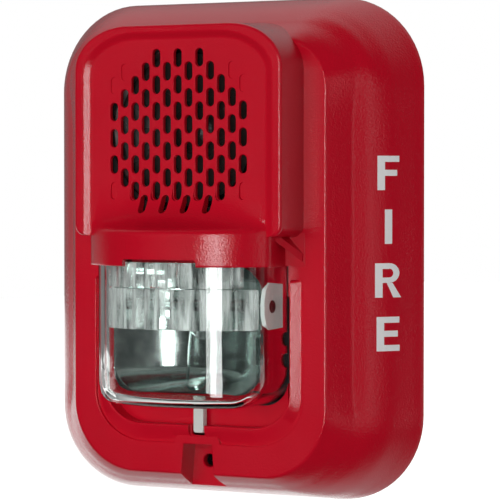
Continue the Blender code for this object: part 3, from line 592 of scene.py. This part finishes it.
def print_letter(letter, middle):
    """One printed letter as a thin closed skin that follows the flank."""
    cuts = 8
    size = cuts + 1
    quads = letter_outlines(letter)
    width = max(x for quad in quads for x, _ in quad)
    shape = bmesh.new()
    for quad in quads:
        grid = []
        for level in (0, 1):
            for i in range(cuts + 1):
                for j in range(cuts + 1):
                    s, t = i / cuts, j / cuts
                    low = [quad[0][k] + (quad[1][k] - quad[0][k]) * s for k in (0, 1)]
                    high = [quad[3][k] + (quad[2][k] - quad[3][k]) * s for k in (0, 1)]
                    across, up = (low[k] + (high[k] - low[k]) * t for k in (0, 1))
                    point = on_flank(LETTER_LINE - (across - width / 2), middle - LETTER_HIGH / 2 + up,
                                     INK * (2 * level - 1))
                    grid.append(shape.verts.new(point))
        edge = [(i, 0) for i in range(cuts)] + [(cuts, j) for j in range(cuts)]
        edge += [(cuts - i, cuts) for i in range(cuts)] + [(0, cuts - j) for j in range(cuts)]
        for i in range(cuts):
            for j in range(cuts):
                ids = (i * size + j, (i + 1) * size + j, (i + 1) * size + j + 1, i * size + j + 1)
                shape.faces.new([grid[size * size + k] for k in ids])
                shape.faces.new([grid[k] for k in reversed(ids)])
        for (i, j), (m, n) in zip(edge, edge[1:] + edge[:1]):
            a, b = i * size + j, m * size + n
            shape.faces.new((grid[a], grid[b], grid[size * size + b], grid[size * size + a]))
    bmesh.ops.recalc_face_normals(shape, faces=shape.faces[:])
    data = bpy.data.meshes.new("ink")
    shape.to_mesh(data)
    shape.free()
    item = bpy.data.objects.new(f"ink_right_{letter.lower()}", data)
    bpy.context.scene.collection.objects.link(item)
    data.materials.append(pad_ink)
    smooth(item, 40, False)
    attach(item, "head")


def pad_print_ink():
    """Pale grey pad printing ink: thin, half matt, a little uneven over the grain."""
    made, tree, shader = material("pad_print_ink", 0.45, IOR=1.48)
    place = grain(tree, shader, 0.42, 0.02, 0.6)
    shade_range(tree, shader, place, "#eeebec", "#f6f4f4", 2.0)
    return made


pad_ink = pad_print_ink()
for order, letter in enumerate("FIRE"):
    print_letter(letter, FIRST_LETTER - LETTER_STEP * order)

# ---------------------------------------------------------------- reflector
# ABS bowl, vacuum metallised: a smooth deep curve behind the tube with a narrow spoon
# down its middle that throws light to the floor. It mirrors the dark room and the lamps.
RIM_DEPTH = 33.0


def bowl_depth(x, z):
    """Depth of the mirror: a parabola across, turned up at the bottom, with a spoon in it."""
    down = max((-32.5 - z) / 8.5, 0.0)
    up = max((z + 9.0) / 5.0, 0.0)
    bowl = 19.8 + 0.0238 * x * x + 7.5 * down ** 2.0 + 6.0 * up ** 2
    fall = max((-21.5 - z) / 19.3, 0.0)
    reach = (x + 0.4 + 0.8 * fall) / (4.6 - 1.5 * fall ** 2)
    if z < -21.5 and abs(reach) < 1.0:
        bowl = min(bowl, 18.6 + 8.6 * fall ** 1.3 + 1.6 * reach * reach)
    return bowl


def mirror_shell():
    """Metallised shell as one closed skin, 1 mm thick, cut to a rounded rectangle."""
    columns, rows_up = 150, 120
    inside = []
    for j in range(rows_up + 1):
        z = -40.8 + (36.4) * j / rows_up
        half = 23.5
        for level, sign in ((-40.8, 1), (-4.4, -1)):
            gap = (z - level) * sign
            if gap < 7.0:
                half = 23.5 - 7.0 + math.sqrt(max(49.0 - (7.0 - gap) ** 2, 0.0))
        half = max(half, 16.5)
        inside.append([(half * (2 * i / columns - 1), z) for i in range(columns + 1)])
    shape = bmesh.new()
    front = [[shape.verts.new((x * MM, -min(bowl_depth(x, z), RIM_DEPTH) * MM, z * MM)) for x, z in row]
             for row in inside]
    back = [[shape.verts.new((x * MM, -(min(bowl_depth(x, z), RIM_DEPTH) - 1.0) * MM, z * MM))
             for x, z in row] for row in inside]
    for j in range(rows_up):
        for i in range(columns):
            shape.faces.new((front[j][i], front[j][i + 1], front[j + 1][i + 1], front[j + 1][i]))
            shape.faces.new((back[j][i], back[j + 1][i], back[j + 1][i + 1], back[j][i + 1]))
    for i in range(columns):
        shape.faces.new((front[0][i], back[0][i], back[0][i + 1], front[0][i + 1]))
        shape.faces.new((front[-1][i], front[-1][i + 1], back[-1][i + 1], back[-1][i]))
    for j in range(rows_up):
        shape.faces.new((front[j][0], front[j + 1][0], back[j + 1][0], back[j][0]))
        shape.faces.new((front[j][-1], back[j][-1], back[j + 1][-1], front[j + 1][-1]))
    bmesh.ops.recalc_face_normals(shape, faces=shape.faces[:])
    data = bpy.data.meshes.new("reflector_shell")
    shape.to_mesh(data)
    shape.free()
    item = bpy.data.objects.new("reflector_shell", data)
    bpy.context.scene.collection.objects.link(item)
    return item


def metallised():
    """Vacuum metallised film: near mirror, with faint ripple from the moulding under it."""
    made, tree, shader = material("vacuum_metallised_film", 0.12, 1.0)
    place = add(tree, "TexCoord").outputs["Object"]
    shade_range(tree, shader, place, "#d3dfdc", "#e4ecea", 5.0)
    worn_gloss(tree, shader, place, 0.09, 0.17, 4.0)
    ripple = add(tree, "TexNoise", {"Vector": place, "Scale": 320.0, "Detail": 1.0})
    bump = add(tree, "Bump", {"Height": ripple.outputs["Fac"], "Distance": 0.02 * MM, "Strength": 0.5})
    tree.links.new(bump.outputs["Normal"], shader.inputs["Normal"])
    return made


mirror = mirror_shell()
mirror.data.materials.append(metallised())
smooth(mirror, 50, False)
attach(mirror, "head")
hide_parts("reflector")


def wire(name, points, radius, made, turns=14):
    """Round bar along a smoothed path of (x, depth, z) points, with capped ends."""
    path = [np.array(p[1:]) for p in through([(k, *p) for k, p in enumerate(points)], 6)]
    rings = []
    for k, here in enumerate(path):
        forward = path[min(k + 1, len(path) - 1)] - path[max(k - 1, 0)]
        forward = forward / np.linalg.norm(forward)
        side = np.cross(forward, (0.0, 0.0, 1.0) if abs(forward[2]) < 0.9 else (1.0, 0.0, 0.0))
        side = side / np.linalg.norm(side)
        up = np.cross(side, forward)
        rings.append([tuple(here + radius * (math.cos(2 * math.pi * j / turns) * side
                                             + math.sin(2 * math.pi * j / turns) * up))
                      for j in range(turns)])
    item = closed(name, rings)
    item.data.materials.append(made)
    smooth(item, 50, False)
    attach(item, "head")
    return item


# Bead moulded round the edge of the spoon, which catches a thin line of light.
bead_path = [(-4.2, -21.6), (-4.9, -27.0), (-5.2, -32.0), (-4.8, -36.0), (-3.6, -38.4), (-1.6, -39.3),
             (0.6, -38.6), (2.4, -35.6), (3.7, -31.0), (4.7, -26.0), (5.5, -21.6)]
wire("reflector_spoon_bead", [(x, bowl_depth(x, z) + 0.55, z) for x, z in bead_path], 0.34,
     mirror.data.materials[0])

# ---------------------------------------------------------------- flash tube
# Straight xenon tube of hard glass with a metal electrode sealed in each end, held by
# bent wire leads. Each lead ends in a pale moulded end piece with a dark rubber cap.
TUBE_DEPTH = 31.0
TUBE_HEIGHT = -15.3


def tube_along(name, profile, line=(TUBE_DEPTH, TUBE_HEIGHT), turns=28):
    """Turned piece on a level line at a (depth, z): profile rows are (x, radius)."""
    depth, z = line
    angles = [2 * math.pi * k / turns for k in range(turns)]
    return closed(name, [[(x, depth + radius * math.cos(a), z + radius * math.sin(a)) for a in angles]
                         for x, radius in profile])


def clear_material(name, ior, tint, roughness):
    """Clear glass or moulded plastic: full transmission, a faint tint, soft flow marks.
    It lets lamp light through, so that what is behind it is lit."""
    made, tree, shader = material(name, roughness, IOR=ior)
    shader.inputs["Transmission Weight"].default_value = 1.0
    place = add(tree, "TexCoord").outputs["Object"]
    shade_range(tree, shader, place, *tint, 12.0)
    ripple = add(tree, "TexNoise", {"Vector": place, "Scale": 160.0, "Detail": 1.0})
    bump = add(tree, "Bump", {"Height": ripple.outputs["Fac"], "Distance": 0.05 * MM, "Strength": 0.5})
    tree.links.new(bump.outputs["Normal"], shader.inputs["Normal"])
    worn_gloss(tree, shader, place, roughness, roughness + 0.03, 6.0)
    rays = add(tree, "LightPath")
    open_air = add(tree, "BsdfTransparent")
    mixed = add(tree, "MixShader", {0: rays.outputs["Is Shadow Ray"], 1: shader.outputs[0],
                                    2: open_air.outputs[0]})
    tree.links.new(mixed.outputs[0], tree.nodes["Material Output"].inputs["Surface"])
    return made


glass = clear_material("hard_glass_tube", 1.47, ("#f2f6f6", "#fbfdfd"), 0.0)
tube = tube_along("flash_tube_glass", [
    (-15.0, 0.8), (-14.7, 1.5), (-14.0, 1.7), (14.0, 1.7), (14.7, 1.5), (15.0, 0.8),
    (14.2, 0.7), (13.6, 1.05), (-13.6, 1.05), (-14.2, 0.7)])
tube.data.materials.append(glass)
smooth(tube, 50, False)
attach(tube, "head")
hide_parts("flash_tube")

tinned = plated("tinned_nickel_iron", "#8f9190", "#b5b6b4", 0.22, 0.8)
SLEEVE = ((15.3, 0.6), (15.4, 1.75), (15.7, 1.9), (17.2, 1.9), (17.4, 1.55), (18.0, 1.55),
          (18.2, 1.9), (19.2, 1.9), (19.4, 1.7), (19.4, 0.4))
SIDES = ((-1, "left"), (1, "right"))
for side, word in SIDES:
    sleeve_end = tube_along(f"electrode_{word}_sleeve", [(side * x, radius) for x, radius in SLEEVE])
    sleeve_end.data.materials.append(tinned)
    smooth(sleeve_end, 35, False)
    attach(sleeve_end, "head")
    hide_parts(f"electrode_{word}")

holder_plastic = clear_material("pale_clear_holder", 1.5, ("#e9efed", "#f4f8f7"), 0.12)
holder_plastic.node_tree.nodes["Principled BSDF"].inputs["Transmission Weight"].default_value = 0.35
rubber = plain_plastic("black_rubber_cap", "#141414", "#222122", 0.6, 0.3, 0.02)
HOLDER = ((22.6, -9.4), (30.6, -8.8), (32.8, -10.6), (33.5, -14.0), (33.5, -17.6), (32.7, -20.6),
          (30.4, -21.9), (22.6, -21.6))
CAP = ((24.62, 0.4), (24.62, 1.6), (24.7, 1.8), (24.84, 1.8), (24.92, 1.6), (24.92, 0.9),
       (24.8, 0.7), (24.78, 0.2))
LEAD = ((19.6, 31.0, -15.3), (20.6, 30.9, -15.3), (21.8, 30.2, -15.6), (23.6, 29.3, -15.5))
for side, word in SIDES:
    holder = closed(f"tube_holder_{word}", [[(side * x, depth, z) for depth, z in HOLDER]
                                            for x in (23.7, 23.82, 24.48, 24.6)])
    holder.data.materials.append(holder_plastic)
    smooth(holder, 30)
    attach(holder, "head")
    cap = tube_along(f"tube_cap_{word}", [(side * x, radius) for x, radius in CAP], (29.2, -15.5))
    cap.data.materials.append(rubber)
    smooth(cap, 40, False)
    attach(cap, "head")
    wire(f"tube_lead_{word}", [(side * x, depth, z) for x, depth, z in LEAD], 0.42, tinned)

# ---------------------------------------------------------------- lens
# Clear polycarbonate in one moulding with 1.8 mm walls: a bulging front, round lower
# corners, two tiers of upright prisms inside its upper half, and a flange at the back.
LENS_HALF = 26.85
LENS_WALL = 1.8
LENS_EDGE = 36.0            # depth of the front at its sides
LENS_CROWN = 47.6           # and at its middle


def lens_rings(inset, back, arc=48):
    """Plan rings of the lens, rounded towards its bottom and at its front corners."""
    half, low, high = LENS_HALF - inset, -43.5 + inset, 0.6 - inset
    corner, soft = 8.0 - inset, 3.4 - inset * 0.6
    rings = []
    falls = [corner * (1 - math.cos(math.radians(a))) for a in range(0, 91, 9)]
    levels = [(low + fall, corner * (1 - math.sin(math.radians(a))))
              for a, fall in zip(range(0, 91, 9), falls)]
    levels += [(z, 0.0) for z in np.linspace(low + corner + 1.5, high - 0.5, 14)] + [(high, 0.25)]
    for z, pull in levels:
        width = half - pull
        rise = max(0.0, 1 - (z - low) / soft) if soft > 0 else 0.0
        ease_back = soft * (1 - math.sqrt(max(1 - rise ** 2, 0.0)))
        ring = [(width, back, z), (-width, back, z)]
        for k in range(arc + 1):
            x = width * (2 * k / arc - 1)
            near = max(0.0, 1 - (width - abs(x)) / 1.6)
            shoulder = 1.6 * (1 - math.sqrt(max(1 - near ** 2, 0.0)))
            ring.append((x, bulge(x, half, LENS_EDGE - inset, LENS_CROWN - inset) - ease_back - shoulder, z))
        rings.append(ring)
    return rings


lens = closed("lens_moulding", lens_rings(0.0, 17.5))
flange = outline(26.6, 0.8, -46.0, (1.0, 1.0), (2.0, 2.0), 4, 1, 1)
carve(lens, [straight("flange", flange, 17.5, 19.1)], "UNION")
carve(lens, [closed("lens_inside", lens_rings(LENS_WALL, 16.5))])
polycarbonate = clear_material("clear_polycarbonate", 1.58, ("#eef6f3", "#f7fbf9"), 0.01)
lens.data.materials.clear()
lens.data.materials.append(polycarbonate)
smooth(lens, 34)
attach(lens, "head")
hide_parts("lens")


def frosted_prism():
    """Clear polycarbonate with fine cut facets: they scatter a little light and look pale."""
    made = clear_material("cut_polycarbonate_prisms", 1.5, ("#f3f8f6", "#fbfdfc"), 0.03)
    tree = made.node_tree
    shader = tree.nodes["Principled BSDF"]
    place = add(tree, "TexCoord").outputs["Object"]
    stretch = add(tree, "Mapping", {"Vector": place, "Scale": (1.0, 1.0, 0.12)})
    milk = add(tree, "TexNoise", {"Vector": stretch.outputs[0], "Scale": 420.0, "Detail": 3.0})
    clear = add(tree, "MapRange", {0: milk.outputs["Fac"], 1: 0.36, 2: 0.58, 3: 0.5, 4: 1.0})
    tree.links.new(clear.outputs[0], shader.inputs["Transmission Weight"])
    return made


prism_clear = frosted_prism()


def prism_tier(name, low, high, half, thick, pitch, bite, lean, start):
    """Row of upright prisms behind the lens front, as one closed clear bar."""
    inside = (LENS_HALF - LENS_WALL, LENS_EDGE - LENS_WALL, LENS_CROWN - LENS_WALL)
    front, rear = [], []
    count = 64
    for k in range(count + 1):
        x = half * (2 * k / count - 1)
        front.append((x, bulge(x, *inside) - 0.25))
    x = -half
    step = 0
    while x < half - 0.01:
        tooth = bite * (0.0 if step % 2 else 1.0)
        depth = bulge(x, *inside) - thick - tooth + lean * math.sin(x * 0.35 + start)
        rear.append((x, max(depth, RIM_DEPTH + 0.3)))
        x += pitch * (0.62 if step % 2 else 0.38)
        step += 1
    rear.append((half, max(bulge(half, *inside) - thick, RIM_DEPTH + 0.3)))
    plan = front + rear[::-1]
    rings = [[(x, depth, z) for x, depth in plan] for z in (low, low + 0.4, high - 0.4, high)]
    for number in (0, 3):
        middle = sum(d for _, d in plan) / len(plan)
        rings[number] = [(x * 0.99, middle + (depth - middle) * 0.92, z) for x, depth, z in rings[number]]
    item = closed(name, rings)
    item.data.materials.append(prism_clear)
    smooth(item, 20, False)
    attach(item, "head")
    return item


prism_tier("lens_prisms_upper", -10.3, -3.2, 20.4, 2.6, 3.4, 1.0, 0.5, 0.3)
prism_tier("lens_prisms_lower", -21.9, -10.6, 23.3, 3.0, 4.1, 1.3, 0.6, 1.4)

# ---------------------------------------------------------------- lens latch
# Small natural coloured nylon tongue on the lens flange, sprung into its own slot.
nylon = plain_plastic("natural_nylon", "#c9cbc6", "#d9dad5", 0.42, 0.5, 0.01)
latch = stack("latch_tongue", [
    (23.0, outline(1.7, -45.2, -52.3, (0.3, 0.3), (0.7, 0.7), 4, 1, 1)),
    (24.4, outline(1.7, -45.2, -52.3, (0.3, 0.3), (0.7, 0.7), 4, 1, 1)),
    (24.85, outline(1.55, -45.35, -52.1, (0.3, 0.3), (0.6, 0.6), 4, 1, 1)),
    (24.98, outline(1.25, -45.6, -51.8, (0.2, 0.2), (0.5, 0.5), 4, 1, 1))])
latch.data.materials.append(nylon)
smooth(latch, 30)
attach(latch, "head")
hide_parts("lens_latch")

# ---------------------------------------------------------------- selector, shield, dial and washer
# Selector and insulating shield in the plate's black ABS; the shield's black, seen through the selector
# window right of the lens, is also painted shade for that gap. Tone dial and the mounting screw's washer
# in the latch's nylon. All four are small plain mouldings.
dress("candela_slider", black_abs)
# Black shield behind the selector window: its black is painted shade for the dark gap right of the lens.
dress("board_shield", black_abs)
dress("tone_dial", nylon)
dress("retaining_washer", nylon)

# ---------------------------------------------------------------- mounting screw
# Blackened steel screw with a plain drive slot, kept in its boss by the nylon washer.
black_oxide = plated("black_oxide_steel", "#1d1d1e", "#2e2e2f", 0.36)
dress("mounting_screw", black_oxide)

# ---------------------------------------------------------------- floor, lights and camera
# A pale floor under the part, a white backdrop behind it, one tall soft box to the right
# of the camera that draws the streaks, and soft fill that leaves no reflection.
def floor_plane():
    """Pale matt floor, well below the wall piece."""
    shape = bmesh.new()
    corners = ((-3.0, 0.2), (3.0, 0.2), (3.0, 6.0), (-3.0, 6.0))
    shape.faces.new([shape.verts.new((x, y, -0.26)) for x, y in corners])
    data = bpy.data.meshes.new("floor")
    shape.to_mesh(data)
    shape.free()
    item = bpy.data.objects.new("floor", data)
    bpy.context.scene.collection.objects.link(item)
    made, tree, shader = material("pale_matt_floor", 0.9)
    shader.inputs["Base Color"].default_value = linear("#f4f4f2")
    shader.inputs["Emission Color"].default_value = linear("#ffffff")
    shader.inputs["Emission Strength"].default_value = 0.95
    data.materials.append(made)


def area_light(name, azimuth, elevation, distance, width, height, watts, glossy=True):
    """Rectangular soft box that looks at the part."""
    lamp = bpy.data.lights.new(name, "AREA")
    lamp.shape = "RECTANGLE"
    lamp.size = width
    lamp.size_y = height
    lamp.energy = watts
    item = bpy.data.objects.new(name, lamp)
    bpy.context.scene.collection.objects.link(item)
    a, e = math.radians(azimuth), math.radians(elevation)
    back = Vector((math.sin(a) * math.cos(e), -math.cos(a) * math.cos(e), math.sin(e)))
    item.location = back * distance
    item.rotation_mode = "QUATERNION"
    item.rotation_quaternion = back.to_track_quat("Z", "Y")
    item.visible_glossy = glossy
    item.visible_transmission = glossy
    return item


floor_plane()
area_light("key_box", 23.2, 0.0, 1.3, 0.23, 0.64, 5.4)
area_light("side_box", 67.0, 0.0, 1.3, 0.20, 0.64, 0.4)
area_light("fill_front", -14.0, 10.0, 1.5, 1.2, 1.2, 12.5, glossy=False)
area_light("fill_left", -60.0, 20.0, 1.4, 0.8, 1.0, 0.8, glossy=False)

world = bpy.data.worlds.new("studio")
bpy.context.scene.world = world
world.use_nodes = True
air = world.node_tree
direction = add(air, "TexCoord").outputs["Generated"]
parts_of = add(air, "SeparateXYZ", {0: direction})
behind = add(air, "MapRange", {0: parts_of.outputs["Y"], 1: 0.0, 2: 0.3})
tilt = add(air, "Math", {0: parts_of.outputs["Z"]}, operation="ABSOLUTE")
steep = add(air, "MapRange", {0: tilt.outputs[0], 1: 0.3, 2: 0.85, 3: 0.16, 4: 0.95})
glow = add(air, "Math", {0: behind.outputs[0], 1: steep.outputs[0]}, operation="MULTIPLY")
room = add(air, "Math", {0: glow.outputs[0], 1: 0.03}, operation="ADD")
seen = add(air, "LightPath").outputs["Is Camera Ray"]
level = add(air, "Mix", {0: seen}, data_type="FLOAT")
level.inputs[3].default_value = 1.0
air.links.new(room.outputs[0], level.inputs[2])
air.links.new(level.outputs[0], air.nodes["Background"].inputs["Strength"])
air.nodes["Background"].inputs["Color"].default_value = linear("#ffffff")

lens_of_camera = bpy.data.cameras.new("camera")
lens_of_camera.sensor_width = 36.0
lens_of_camera.lens = 182.7
lens_of_camera.clip_start = 0.05
lens_of_camera.clip_end = 20.0
camera = bpy.data.objects.new("camera", lens_of_camera)
bpy.context.scene.collection.objects.link(camera)
camera.location = (0.3465, -0.6572, 0.0185)
target = Vector((0.00285, 0.0015, -0.0007))
camera.rotation_mode = "QUATERNION"
camera.rotation_quaternion = (camera.location - target).to_track_quat("Z", "Y")
bpy.context.scene.camera = camera
bpy.context.scene.view_settings.view_transform = "Standard"

bpy.context.view_layer.update()
